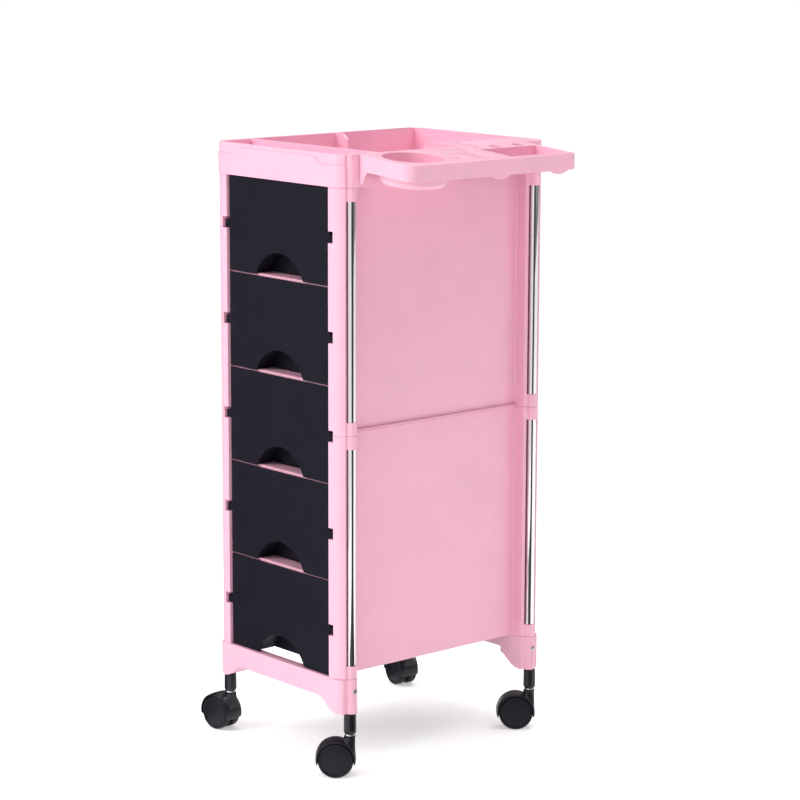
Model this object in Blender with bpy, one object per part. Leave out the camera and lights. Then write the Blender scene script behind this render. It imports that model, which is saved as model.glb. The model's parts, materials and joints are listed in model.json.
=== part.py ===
"""Rolling salon trolley: five slide-out drawers between two moulded sides,
four bright corner tubes, a top tray with bins, a hook-on side shelf with a
bowl well and a foil-roll trough, and four twin-wheel swivel casters.

Metres, +Z up, front face towards -Y, standing on z = 0. Every piece is one
closed body, drawn round the middle of the carcass and moved at the end so
that the whole trolley's box is centred on the origin.
"""

import math

import bpy
from mathutils import Matrix, Vector

# --- driving sizes ---------------------------------------------------------
BODY_DEPTH = 0.380  # front plane to rear plane
OPENING_W = 0.2252  # clear width between the corner posts
DRAWER_COUNT = 5
DRAWER_PITCH = 0.1366  # height taken by one drawer
TRAY_H = 0.0446  # height of the top tray's outer wall
FOOT_Z = 0.090  # underside of the feet
FOOT_H = 0.0494  # feet: underside to the top of the base bar
SKIRT_H = 0.0307  # base bar height between the feet
WALL = 0.0025  # moulded wall
FIT = 0.0004  # standing clearance between pieces
SEAM = 0.0003  # gap where two fixed pieces meet

# --- corner posts and tubes ------------------------------------------------
POST_W = 0.0244  # opening edge to tube axis
TUBE_R = 0.0068
TUBE_SET_BACK = 0.0200  # front plane to tube axis
COLUMN_R = TUBE_R + 0.0019  # rounded corner of tray and feet round the tube axis
COLLAR_R = TUBE_R + 0.0012
COLLAR_H = 0.0186
GROOVE_R = TUBE_R + 0.0024
CORNER_R = 0.0240
CORNER_SWEEP = math.radians(50)
BASE_CORNER_R = 0.0140  # the base bars' corners are squarer
POST_D = 0.0335  # how far back a post reaches from the front plane
RIB_OUT = 0.0050
RIB_H = 0.0021
SPLIT_UP = 0.0021  # parting line above mid height, clear of the middle runner

# --- drawers ---------------------------------------------------------------
PLATE_T = 0.0030
PLATE_RECESS = 0.0040
PLATE_GAP = 0.00115  # plate edge to drawer boundary
PLATE_SIDE_GAP = 0.0014
TUB_HALF_W = 0.1045
TUB_RIM = 0.0712  # above the drawer boundary
TUB_FLOOR = 0.0028
TUB_BACK = 0.0300  # rear of tub to rear plane
FLANGE_T = 0.0025
EAR_H = 0.0102
EAR_W = 0.0090
EAR_D = 0.0140
NOTCH_H = 0.0160
LEDGE_W = 0.0061
LEDGE_T = 0.0030
GRIP_CHORD = 0.1050
GRIP_H = 0.0340
GRIP_D = 0.0300
RAIL_H = 0.0040
RAIL_SET_BACK = 0.0085
RAIL_D = 0.0250

# --- top tray --------------------------------------------------------------
RIM_W = 0.0075
BIN_D = 0.0418
RECESS_D = 0.0100
RECESS_FRONT = 0.0080
RECESS_BACK = 0.0600
PARTITION_AT = 0.2200
PARTITION_T = 0.0050
STUB_W = 0.0260
PARTITION_DROP = 0.0240
REAR_BIN_RIGHT = 0.0800
FIELD_OUT = 0.0015
FIELD_BAND = 0.0050
FIELD_CORNER_BAND = 0.0150

# --- side shelf ------------------------------------------------------------
SHELF_W = 0.1040
SHELF_FRONT = 0.0270
SHELF_BACK = 0.3320
SHELF_H = 0.0220
SHELF_FALL = 0.0840  # drop per metre outwards
SHELF_GAP = 0.0006
WELL_R = 0.0425
WELL_D = 0.0365
WELL_ROUND = 0.0045  # rounded bottom edge of the bowl well
WELL_X = 0.0480
WELL_Y = 0.0810
TROUGH = (0.0285, 0.0905, 0.2220, 0.3240)  # x and y limits from shelf's inner front
TROUGH_D = 0.0160
TOOL_HOLES = ((0.0150, 0.2620), (0.0150, 0.3050))
TOOL_HOLE_R = 0.0095
SLOTS = (
    (0.0395, 0.0875, 0.1840, 0.0062),
    (0.0680, 0.0810, 0.1400, 0.0056),
    (0.0055, 0.0255, 0.2020, 0.0056),
    (0.0055, 0.0200, 0.2310, 0.0056),
)
DECK_SLOT = (0.1000, 0.1330, 0.2445, 0.0056)
LOBES = (0.1900, 0.2990)
LOBE_R = 0.0320
LOBE_DROP = 0.0050
LEG_DROP = 0.0400
TOOTH = 0.0050
TOOTH_H = 0.0016

# --- casters ---------------------------------------------------------------
WHEEL_R = 0.0250
WHEEL_W = 0.0125
WEB_HALF = 0.0030
TRAIL = 0.0200
HOOD_T = 0.0028
HOOD_GAP = 0.0008  # wheel tread to the inside of the hood
HOOD_R = WHEEL_R + HOOD_GAP + HOOD_T
HOOD_HALF_W = 0.0154
BOSS_UP = 0.0040  # top of the boss above the hood
HOOD_TOP = WHEEL_R + HOOD_R + BOSS_UP
BOSS_R = 0.0085
RING_R = 0.0072
RING_H = 0.0028
STEM_R = 0.0040
SLEEVE_R = 0.0090
STEM_OUT = 0.0020  # caster stems stand this much nearer the ends than the tubes
STEM_SEAT = 0.001556  # lower end of the stem above the hood band
STEM_LOW = WHEEL_R + math.sqrt(HOOD_R**2 - TRAIL**2) + STEM_SEAT
AXLE_R = 0.0028
SCREW_R = 0.0036
SCREW_DOWN = 0.0170
CASTER_TURN = {  # heading of the wheel from the stem, degrees from +X
    "front_right": 230.0,
    "front_left": 187.0,
    "rear_right": 230.0,
    "rear_left": 169.0,
}

# --- sizes that follow -----------------------------------------------------
OPEN_X = OPENING_W / 2
TUBE_X = OPEN_X + POST_W
FRONT = -BODY_DEPTH / 2
TUBE_Y = -FRONT - TUBE_SET_BACK
BASE_TOP = FOOT_Z + FOOT_H
OPENING_TOP = BASE_TOP + DRAWER_COUNT * DRAWER_PITCH
RIM_Z = OPENING_TOP + TRAY_H
SPLIT_Z = (BASE_TOP + OPENING_TOP) / 2 + SPLIT_UP
SIDE_X = TUBE_X + COLUMN_R
WALL_OUT = OPEN_X + WALL
SHELF_X = SIDE_X + SHELF_GAP

PINK = ((0.90, 0.46, 0.60), 0.38, 0.0)
BLACK = ((0.030, 0.028, 0.040), 0.50, 0.0)
CASTER_BLACK = ((0.018, 0.017, 0.022), 0.42, 0.0)
CHROME = ((0.80, 0.80, 0.81), 0.10, 1.0)
STEEL = ((0.62, 0.62, 0.63), 0.28, 1.0)


# --- mesh helpers ----------------------------------------------------------
def clear_scene():
    """Start from an empty scene."""
    for old in list(bpy.data.objects):
        bpy.data.objects.remove(old, do_unlink=True)


def make_material(name, look):
    """One Principled material: colour, roughness, metallic."""
    colour, rough, metal = look
    mat = bpy.data.materials.new(name)
    mat.use_nodes = True
    shader = mat.node_tree.nodes["Principled BSDF"]
    shader.inputs["Base Color"].default_value = (*colour, 1.0)
    shader.inputs["Roughness"].default_value = rough
    shader.inputs["Metallic"].default_value = metal
    return mat


def solid(name, points, faces):
    """A mesh object from points and faces."""
    mesh = bpy.data.meshes.new(name)
    mesh.from_pydata([tuple(p) for p in points], [], faces)
    mesh.validate()
    obj = bpy.data.objects.new(name, mesh)
    bpy.context.scene.collection.objects.link(obj)
    return obj


def area(outline):
    """Signed area of a flat outline."""
    total = 0.0
    for (ax, ay), (bx, by) in zip(outline, outline[1:] + outline[:1]):
        total += ax * by - bx * ay
    return total / 2


def prism(name, outline, low, high, axis="Z"):
    """An outline pushed along one axis. Outlines are (x, y) for Z, (y, z) for X, (z, x) for Y."""
    if area(outline) < 0:
        outline = outline[::-1]
    place = {
        "Z": lambda a, b, c: (a, b, c),
        "X": lambda a, b, c: (c, a, b),
        "Y": lambda a, b, c: (b, c, a),
    }[axis]
    count = len(outline)
    points = [place(a, b, low) for a, b in outline] + [place(a, b, high) for a, b in outline]
    faces = [tuple(range(count))[::-1], tuple(range(count, 2 * count))]
    for i in range(count):
        j = (i + 1) % count
        faces.append((i, j, count + j, count + i))
    return solid(name, points, faces)


def box(name, low, high):
    """A box between two corners."""
    outline = [(low[0], low[1]), (high[0], low[1]), (high[0], high[1]), (low[0], high[1])]
    return prism(name, outline, low[2], high[2])


def turned(name, profile, segments, start=0.0):
    """A profile of (radius, height) turned about Z; radius 0 ends close on the axis."""
    points = []
    rings = []
    for radius, height in profile:
        if radius < 1e-9:
            rings.append([len(points)] * segments)
            points.append((0.0, 0.0, height))
            continue
        ring = []
        for i in range(segments):
            turn = start + 2 * math.pi * i / segments
            ring.append(len(points))
            points.append((radius * math.cos(turn), radius * math.sin(turn), height))
        rings.append(ring)
    closed = profile[0][0] > 1e-9 and profile[-1][0] > 1e-9
    faces = []
    pairs = list(zip(rings, rings[1:])) + ([(rings[-1], rings[0])] if closed else [])
    for lower, upper in pairs:
        for i in range(segments):
            j = (i + 1) % segments
            corners = [lower[i], lower[j], upper[j], upper[i]]
            kept = list(dict.fromkeys(corners))
            if len(kept) > 2:
                faces.append(tuple(kept))
    return solid(name, points, faces)


def moved(obj, matrix):
    """Carry an object's mesh by a matrix."""
    obj.data.transform(matrix)
    obj.data.update()
    return obj


def combine(target, tool, operation):
    """Cut, join or keep the shared part, and drop the tool."""
    mod = target.modifiers.new("shape", "BOOLEAN")
    mod.operation = operation
    mod.solver = "EXACT"
    mod.object = tool
    graph = bpy.context.evaluated_depsgraph_get()
    shaped = bpy.data.meshes.new_from_object(target.evaluated_get(graph))
    target.modifiers.remove(mod)
    target.data = shaped
    bpy.data.objects.remove(tool, do_unlink=True)
    return target


def cut(target, tool):
    """Take the tool's space out of the target."""
    return combine(target, tool, "DIFFERENCE")


def join(target, tool):
    """Add the tool to the target."""
    return combine(target, tool, "UNION")


def arc(cx, cy, radius, start, end, steps):
    """Points along an arc, angles in radians."""
    found = []
    for i in range(steps + 1):
        turn = start + (end - start) * i / steps
        found.append((cx + radius * math.cos(turn), cy + radius * math.sin(turn)))
    return found


def disc(cx, cy, radius, steps):
    """Points round a circle."""
    return arc(cx, cy, radius, 0.0, 2 * math.pi * (steps - 1) / steps, steps - 1)


def finish(obj, name, look, pivot=(0.0, 0.0, 0.0)):
    """Name the piece, give it its material and put its origin on the pivot."""
    obj.name = name
    obj.data.name = name
    obj.data.materials.clear()
    obj.data.materials.append(make_material(name + "_material", look))
    pivot = Vector(pivot)
    obj.data.transform(Matrix.Translation(-pivot))
    obj.location = pivot
    return obj


# --- carcass ---------------------------------------------------------------
def corner_arc(radius=CORNER_R):
    """Front-right corner outline, from the flat front round to the crease."""
    centre_x = TUBE_X - 0.0170 + (CORNER_R - radius) * math.sin(CORNER_SWEEP)
    start = -math.pi / 2
    return arc(centre_x, FRONT + radius, radius, start, start + CORNER_SWEEP, 5)


def column_arc(radius, end):
    """Rounded column round the tube axis, from the crease side to the given angle."""
    return arc(TUBE_X, -TUBE_Y, radius, math.radians(-80), end, 8)


def mirrored(points, flip_x, flip_y):
    """The same points mirrored and kept in order."""
    turned_points = [(x * flip_x, y * flip_y) for x, y in points]
    return turned_points[::-1] if flip_x * flip_y < 0 else turned_points


def tray_outline():
    """Outline of the top tray, with its four rounded columns."""
    quarter = corner_arc() + column_arc(COLUMN_R, 0.0)
    outline = []
    for flip_x, flip_y in ((1, 1), (1, -1), (-1, -1), (-1, 1)):
        outline += mirrored(quarter, flip_x, flip_y)
    return outline


def side_profile():
    """Plan section of one side: two posts joined by a thin wall."""
    post = [(OPEN_X, FRONT)] + corner_arc() + column_arc(COLLAR_R, math.radians(90))
    post += [(TUBE_X - 0.0030, FRONT + POST_D), (WALL_OUT + 0.0015, FRONT + POST_D)]
    post += [(WALL_OUT, FRONT + POST_D + 0.0015)]
    return post + mirrored(post, 1, -1)


def groove_cutter(sign, low, high):
    """Open groove beside a tube, between two heights."""
    pocket = prism("groove", disc(TUBE_X, sign * TUBE_Y, GROOVE_R, 24), low, high)
    near = sign * TUBE_Y - GROOVE_R + 0.0002
    far = sign * TUBE_Y + GROOVE_R - 0.0002
    return join(pocket, box("mouth", (TUBE_X, near, low), (TUBE_X + 0.03, far, high)))


def notch_cutter(boundary):
    """Pocket in the front post for a drawer's ear."""
    top = boundary + TUB_RIM + FIT + NOTCH_H - EAR_H - 2 * FIT
    low = (OPEN_X - 0.002, FRONT - 0.002, top - NOTCH_H)
    high = (OPEN_X + EAR_W + FIT + 0.0001, FRONT + PLATE_RECESS + EAR_D + 3 * FIT, top)
    return box("notch", low, high)


def ledge(boundary):
    """Runner ledge on the inner face of a side."""
    top = boundary + TUB_RIM - FLANGE_T - FIT
    low = (OPEN_X - LEDGE_W, FRONT + POST_D + 0.0025, top - LEDGE_T)
    return box("ledge", low, (OPEN_X + 0.001, -FRONT - POST_D - 0.0025, top))


def side_section(side, level):
    """One moulded side section: wall, posts, collars, notches and ledges."""
    upper = level == "upper"
    low = SPLIT_Z + SEAM / 2 if upper else BASE_TOP + SEAM
    high = OPENING_TOP - SEAM if upper else SPLIT_Z - SEAM / 2
    piece = prism("side", side_profile(), low, high)
    rib_low = low if upper else high - RIB_H
    rib_y = TUBE_Y - GROOVE_R - 0.0040
    rib = box("rib", (WALL_OUT - 0.001, -rib_y, rib_low), (WALL_OUT + RIB_OUT, rib_y, rib_low + RIB_H))
    join(piece, rib)
    for sign in (-1, 1):
        cut(piece, groove_cutter(sign, low + COLLAR_H, high - COLLAR_H))
        bore = disc(TUBE_X, sign * TUBE_Y, TUBE_R + SEAM, 20)
        cut(piece, prism("bore", bore, low - 0.01, high + 0.01))
    for index in range(DRAWER_COUNT):
        boundary = BASE_TOP + index * DRAWER_PITCH
        rest = boundary + TUB_RIM - FLANGE_T
        if low - NOTCH_H < rest < high + NOTCH_H:
            cut(piece, notch_cutter(boundary))
        if low < rest - LEDGE_T < high:
            join(piece, ledge(boundary))
    if side == "left":
        moved(piece, Matrix.Scale(-1, 4, (1, 0, 0)))
        piece.data.flip_normals()
    return finish(piece, f"side_{side}_{level}", PINK)


def base_outline():
    """Plan outline of the front base bar: shallow in the middle, deep at the feet."""
    half = corner_arc(BASE_CORNER_R) + column_arc(COLUMN_R, math.radians(90))
    deep = TUBE_X - 0.0470
    half += [(TUBE_X - 0.0030, FRONT + POST_D), (deep, FRONT + POST_D), (deep - 0.0050, FRONT + 0.0150)]
    return half + mirrored(half, -1, 1)


def foot_curve():
    """Front view of the lower edge from the middle to a foot, as (x, drop from bar top)."""
    foot = TUBE_X - 0.0090
    steps = ((0.0, 0.0), (-0.007, 0.0008), (-0.015, 0.0043), (-0.023, 0.0098), (-0.031, 0.0160))
    fall = FOOT_H - SKIRT_H
    curve = [(foot + dx, FOOT_Z + dz) for dx, dz in steps]
    return curve + [(foot - 0.040, FOOT_Z + fall)]


def base_bar(end):
    """Base bar across the front or rear, with a foot at each end."""
    bar = prism("bar", base_outline(), FOOT_Z, BASE_TOP)
    right = [(z, x) for x, z in foot_curve()]
    left = [(z, -x) for z, x in right[::-1]]
    under = right + left + [(FOOT_Z - 0.02, -TUBE_X + 0.009), (FOOT_Z - 0.02, TUBE_X - 0.009)]
    cut(bar, prism("under", under, FRONT - 0.02, FRONT + 0.06, "Y"))
    for sign in (-1, 1):
        screw_z = BASE_TOP - SCREW_DOWN
        hole = prism("hole", disc(-TUBE_Y, screw_z, 0.0018, 10), TUBE_X - 0.0070, TUBE_X + 0.0230, "X")
        moved(hole, Matrix.Scale(sign, 4, (1, 0, 0)))
        if sign < 0:
            hole.data.flip_normals()
        cut(bar, hole)
        socket = disc(sign * TUBE_X, -TUBE_Y - STEM_OUT, STEM_R + FIT, 14)
        cut(bar, prism("socket", socket, FOOT_Z - 0.01, FOOT_Z + 0.016))
    if end == "rear":
        moved(bar, Matrix.Scale(-1, 4, (0, 1, 0)))
        bar.data.flip_normals()
    return finish(bar, f"base_bar_{end}", PINK)


def corner_tube(name, x, y):
    """Bright corner tube standing from base bar to tray."""
    length = OPENING_TOP - BASE_TOP - 2 * SEAM
    tube = turned("tube", ((TUBE_R, 0.0), (TUBE_R, length), (TUBE_R - 0.0012, length), (TUBE_R - 0.0012, 0.0)), 20)
    moved(tube, Matrix.Translation((x, y, BASE_TOP + SEAM)))
    return finish(tube, f"tube_{name}", CHROME)


def cross_rail(name, boundary, y_low):
    """Rail joining the two sides at a drawer boundary."""
    half = OPEN_X - SEAM
    low = (-half, y_low, boundary - RAIL_H / 2)
    return finish(box("rail", low, (half, y_low + RAIL_D, boundary + RAIL_H / 2)), name, PINK)


def foot_screw(name, x_sign, y):
    """Cross-head screw on the outer side of a foot."""
    profile = ((0.0, 0.0), (SCREW_R, 0.0), (SCREW_R, 0.0008), (SCREW_R * 0.66, 0.0018), (0.0, 0.0020))
    head = turned("head", profile, 14)
    join(head, turned("shank", ((0.0, -0.0060), (0.0014, -0.0060), (0.0014, 0.0004), (0.0, 0.0004)), 8))
    for long, short in ((0.0022, 0.0004), (0.0004, 0.0022)):
        cut(head, box("cross", (-long, -short, 0.0011), (long, short, 0.0040)))
    moved(head, Matrix.Rotation(math.radians(90 * x_sign), 4, "Y"))
    moved(head, Matrix.Translation((x_sign * (SIDE_X + SEAM), y, BASE_TOP - SCREW_DOWN)))
    return finish(head, name, STEEL)


# --- drawers ---------------------------------------------------------------
def grip_outline(grow, lowest):
    """Round-topped finger grip, as (z, x), from below the plate edge upward."""
    radius = (GRIP_CHORD**2 / 4 + GRIP_H**2) / (2 * GRIP_H)
    centre = PLATE_GAP + GRIP_H - radius
    radius += grow
    reach = math.acos((lowest - centre) / radius)
    return [(centre + radius * math.cos(t), radius * math.sin(t)) for t in
            [-reach + 2 * reach * i / 14 for i in range(15)]]


def drawer(index):
    """One-piece drawer: front plate, tub, side flanges, ears and finger grip."""
    boundary = BASE_TOP + index * DRAWER_PITCH
    plate_half = OPEN_X - PLATE_SIDE_GAP
    plate_y = FRONT + PLATE_RECESS
    back = -FRONT - TUB_BACK
    body = box("plate", (-plate_half, plate_y, PLATE_GAP), (plate_half, plate_y + PLATE_T, DRAWER_PITCH - PLATE_GAP))
    join(body, box("tub", (-TUB_HALF_W, plate_y + 0.001, TUB_FLOOR), (TUB_HALF_W, back, TUB_RIM)))
    flange_half = OPEN_X - 2 * FIT
    flange_low = TUB_RIM - FLANGE_T
    join(body, box("flange", (-flange_half, plate_y + 0.001, flange_low), (flange_half, back, TUB_RIM + 0.0005)))
    ear_half = OPEN_X + EAR_W
    ears = box("ears", (-ear_half, plate_y + 0.0005, TUB_RIM - EAR_H), (ear_half, plate_y + EAR_D, TUB_RIM + 0.0002))
    join(body, ears)
    inner = TUB_HALF_W - WALL
    space = box("space", (-inner, plate_y + PLATE_T, TUB_FLOOR + WALL), (inner, back - WALL, TUB_RIM + 0.02))
    guard = prism("guard", grip_outline(WALL, -0.01), FRONT - 0.02, plate_y + GRIP_D + WALL, "Y")
    cut(space, guard)
    cut(body, space)
    cut(body, prism("grip", grip_outline(0.0, -0.01), FRONT - 0.02, plate_y + GRIP_D, "Y"))
    moved(body, Matrix.Translation((0, 0, boundary)))
    pivot = (0.0, plate_y, boundary + DRAWER_PITCH / 2)
    return finish(body, f"drawer_{DRAWER_COUNT - index}", BLACK, pivot)


# --- top tray --------------------------------------------------------------
def field_outline():
    """Raised front field of the tray, as (z, x): lower at the corners, S-curved up to the middle."""
    low = OPENING_TOP
    corner = RIM_Z - FIELD_CORNER_BAND
    middle = RIM_Z - FIELD_BAND
    edge = TUBE_X - 0.0170
    rise = ((0.0, 0.0), (0.0200, 0.0), (0.0245, 0.18), (0.0300, 0.62), (0.0360, 0.90), (0.0430, 1.0))
    half = [(corner + (middle - corner) * up, edge - inward) for inward, up in rise]
    return [(low, edge)] + half + [(z, -x) for z, x in half[::-1]] + [(low, -edge)]


def band_outline():
    """Plan outline of the proud band under the field, wrapped round both front corners."""
    inner = corner_arc()
    centre_x = TUBE_X - 0.0170
    start = -math.pi / 2
    outer = arc(centre_x, FRONT + CORNER_R, CORNER_R + FIELD_OUT, start, start + CORNER_SWEEP, 5)
    deep = [(x - 0.0008 * math.sin((CORNER_SWEEP * i) / 5), y + 0.0008) for i, (x, y) in enumerate(inner)]
    half = outer + deep[::-1]
    left = [(-x, y) for x, y in half[::-1]]
    return half + left


def top_tray():
    """Top tray: outer wall, front recess, main bin, rear bin with low partition."""
    tray = prism("tray", tray_outline(), OPENING_TOP, RIM_Z)
    left = -SIDE_X + RIM_W
    right = SIDE_X - RIM_W
    floor = RIM_Z - BIN_D
    main = (left, FRONT + RECESS_BACK + 0.008, right, FRONT + PARTITION_AT)
    rear = (left, FRONT + PARTITION_AT + PARTITION_T, REAR_BIN_RIGHT, -FRONT - RIM_W)
    for x0, y0, x1, y1 in (main, rear):
        join(tray, box("bin", (x0 - WALL, y0 - WALL, floor - WALL), (x1 + WALL, y1 + WALL, RIM_Z - 0.001)))
    under = box("under", (-SIDE_X + 0.0045, FRONT + 0.0035, OPENING_TOP - 0.001),
                (SIDE_X - 0.0045, -FRONT - 0.0035, RIM_Z - WALL))
    for x in (-1, 1):
        for y in (-1, 1):
            post = box("post", (x * TUBE_X - 0.014, y * TUBE_Y - 0.022, OPENING_TOP - 0.01),
                       (x * TUBE_X + 0.014, y * TUBE_Y + 0.022, RIM_Z))
            cut(under, post)
    for x0, y0, x1, y1 in (main, rear):
        cut(under, box("keep", (x0 - WALL, y0 - WALL, 0), (x1 + WALL, y1 + WALL, 1)))
    tip = RIM_Z - RECESS_D
    recess = (-SIDE_X + 0.0130, FRONT + RECESS_FRONT, SIDE_X - 0.0130, FRONT + RECESS_BACK)
    cut(under, box("keep", (recess[0] - WALL, recess[1] - WALL, tip - WALL), (recess[2] + WALL, recess[3] + WALL, 1)))
    cut(tray, under)
    cut(tray, box("recess", (recess[0], recess[1], tip), (recess[2], recess[3], 1)))
    for x0, y0, x1, y1 in (main, rear):
        cut(tray, box("space", (x0, y0, floor), (x1, y1, 1)))
    notch_z = RIM_Z - PARTITION_DROP
    mouth = [(RIM_Z + 0.01, left + STUB_W - 0.012), (RIM_Z + 0.0001, left + STUB_W - 0.012),
             (RIM_Z - 0.008, left + STUB_W), (notch_z, left + STUB_W + 0.002),
             (notch_z, REAR_BIN_RIGHT - STUB_W - 0.002), (RIM_Z - 0.008, REAR_BIN_RIGHT - STUB_W),
             (RIM_Z + 0.0001, REAR_BIN_RIGHT - STUB_W + 0.012), (RIM_Z + 0.01, REAR_BIN_RIGHT - STUB_W + 0.012)]
    y0 = FRONT + PARTITION_AT
    cut(tray, prism("mouth", mouth, y0 - 0.002, y0 + PARTITION_T + 0.002, "Y"))
    x0, x1, y, w = DECK_SLOT
    cut(tray, box("slot", (x0, FRONT + y - w / 2, RIM_Z - 0.02), (x1, FRONT + y + w / 2, 1)))
    join(tray, prism("band", band_outline(), OPENING_TOP, RIM_Z - FIELD_CORNER_BAND))
    join(tray, prism("field", field_outline(), FRONT - FIELD_OUT, FRONT + 0.001, "Y"))
    return finish(tray, "top_tray", PINK)


# --- side shelf ------------------------------------------------------------
def shelf_outline(inset):
    """Plan outline of the shelf, measured from its inner front corner."""
    x1 = SHELF_W - inset
    y0 = SHELF_FRONT + inset
    y1 = SHELF_BACK - inset
    near = max(0.020 - inset, 0.004)
    far = max(0.007 - inset, 0.002)
    outline = [(inset, y0)]
    outline += arc(x1 - near, y0 + near, near, -math.pi / 2, 0.0, 6)
    outline += arc(x1 - far, y1 - far, far, 0.0, math.pi / 2, 4)
    return outline + [(inset, y1)]


def end_leg(low_y, high_y):
    """Leg at one end of the shelf with a concave arch to the skirt."""
    leg = [(0.0, 0.0), (-LEG_DROP + 0.002, 0.0), (-LEG_DROP, 0.0015), (-LEG_DROP + 0.0005, 0.0040)]
    for x, z in ((0.0070, -0.0350), (0.0095, -0.0290), (0.0135, -0.0240), (0.0185, -0.0212), (0.0260, -0.0200)):
        leg.append((z, x))
    leg += [(-0.0010, 0.0260), (-0.0010, 0.0)]
    return prism("leg", leg[1:], low_y, high_y, "Y")


def well_profile(radius, low, edge, high):
    """Half section of the bowl well, its bottom edge rounded."""
    corner = arc(radius - edge, low + edge, edge, -math.pi / 2, 0.0, 4)
    return ((0.0, low), *corner, (radius, high), (0.0, high))


def side_shelf():
    """Side shelf: deck, skirt, bowl well, foil trough, tool holes, slots, legs and saw edge."""
    shelf = prism("shelf", shelf_outline(0.0), -SHELF_H, 0.0)
    well = turned("well", well_profile(WELL_R + WALL, -WELL_D, WELL_ROUND + WALL, -0.001), 32)
    moved(well, Matrix.Translation((WELL_X, WELL_Y, 0)))
    join(shelf, well)
    for y in LOBES:
        centre = LOBE_R - LOBE_DROP - SHELF_H
        reach = math.acos((LOBE_R - LOBE_DROP - WALL) / LOBE_R)
        turns = [reach * (i / 6 - 1) for i in range(13)]
        lobe = [(y + LOBE_R * math.sin(a), centre - LOBE_R * math.cos(a)) for a in turns]
        join(shelf, prism("lobe", lobe, SHELF_W - WALL, SHELF_W, "X"))
    join(shelf, end_leg(SHELF_FRONT, SHELF_FRONT + WALL))
    join(shelf, end_leg(SHELF_BACK - WALL, SHELF_BACK))
    under = prism("under", shelf_outline(WALL), -SHELF_H - 0.03, -WALL)
    cut(under, moved(turned("keep", ((0.0, -0.1), (WELL_R + WALL, -0.1), (WELL_R + WALL, 0.1), (0.0, 0.1)), 32),
                     Matrix.Translation((WELL_X, WELL_Y, 0))))
    x0, x1, y0, y1 = TROUGH
    cut(under, box("keep", (x0 - WALL, y0 - WALL, -TROUGH_D - WALL), (x1 + WALL, y1 + WALL, 0.1)))
    cut(shelf, under)
    cut(shelf, moved(turned("bowl", well_profile(WELL_R, -WELL_D + WALL, WELL_ROUND, 0.1), 32),
                     Matrix.Translation((WELL_X, WELL_Y, 0))))
    cut(shelf, box("trough", (x0, y0, -TROUGH_D), (x1, y1, 0.1)))
    for x, y in TOOL_HOLES:
        cut(shelf, prism("hole", disc(x, y, TOOL_HOLE_R, 18), -0.02, 0.02))
    for xa, xb, y, w in SLOTS:
        cut(shelf, box("slot", (xa, y - w / 2, -0.01), (xb, y + w / 2, 0.01)))
    teeth = [(y0, -0.0008), (y0, 0.0)]
    count = int(round((y1 - y0) / TOOTH))
    for i in range(count):
        start = y0 + (y1 - y0) * i / count
        teeth += [(start + TOOTH / 2, TOOTH_H), (start + (y1 - y0) / count, 0.0)]
    teeth += [(y1, -0.0008)]
    join(shelf, prism("teeth", teeth, SHELF_W - 0.0040, SHELF_W - 0.0024, "X"))
    fall = Matrix.Identity(4)
    fall[2][0] = -SHELF_FALL
    moved(shelf, fall)
    moved(shelf, Matrix.Translation((SHELF_X, FRONT, RIM_Z)))
    return finish(shelf, "side_shelf", PINK)


# --- casters ---------------------------------------------------------------
def caster_hood():
    """Hood over the twin wheels with centre web and swivel boss; wheel axis along Y, axle at (TRAIL, 0)."""
    start = math.radians(-16)
    end = math.radians(196)
    outer = arc(0.0, 0.0, HOOD_R, start, end, 20)
    inner = arc(0.0, 0.0, HOOD_R - HOOD_T, end, start, 20)
    ring = [(z, x) for x, z in outer + inner]
    hood = prism("hood", ring, -HOOD_HALF_W, HOOD_HALF_W, "Y")
    web = [(z, x) for x, z in arc(0.0, 0.0, HOOD_R - 0.0010, start, end, 20)]
    join(hood, prism("web", web, -WEB_HALF + FIT, WEB_HALF - FIT, "Y"))
    boss = turned("boss", ((0.0, 0.008), (BOSS_R, 0.008), (BOSS_R, HOOD_TOP - WHEEL_R), (0.0, HOOD_TOP - WHEEL_R)), 18)
    moved(boss, Matrix.Translation((-TRAIL, 0, 0)))
    cut(boss, prism("keep", disc(0.0, 0.0, HOOD_R - 0.0010, 40), -0.03, 0.03, "Y"))
    join(hood, boss)
    cut(hood, prism("axle_hole", disc(0.0, 0.0, AXLE_R + FIT, 14), -0.03, 0.03, "Y"))
    low = STEM_LOW - FIT - WHEEL_R
    bore = STEM_R + FIT
    stem_hole = turned("stem_hole", ((0.0, low), (bore, low), (bore, 0.05), (0.0, 0.05)), 14)
    moved(stem_hole, Matrix.Translation((-TRAIL, 0, 0)))
    cut(hood, stem_hole)
    return moved(hood, Matrix.Translation((TRAIL, 0, WHEEL_R)))


def caster_wheel(sign):
    """One wheel with a rounded tread edge, a raised rim line and a blind bore."""
    inner = WEB_HALF + FIT / 2
    outer = inner + WHEEL_W
    bore = AXLE_R + FIT
    depth = outer - 0.0040
    profile = ((0.0, outer - 0.0006), (WHEEL_R * 0.84, outer - 0.0006), (WHEEL_R * 0.87, outer),
               (WHEEL_R - 0.0018, outer), (WHEEL_R, outer - 0.0018), (WHEEL_R, inner + 0.0010),
               (WHEEL_R - 0.0010, inner), (bore, inner), (bore, depth), (0.0, depth))
    wheel = turned("wheel", profile[::-1], 28)
    turn = Matrix.Rotation(math.radians(-90 * sign), 4, "X")
    return moved(wheel, Matrix.Translation((TRAIL, 0, WHEEL_R)) @ turn)


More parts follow.
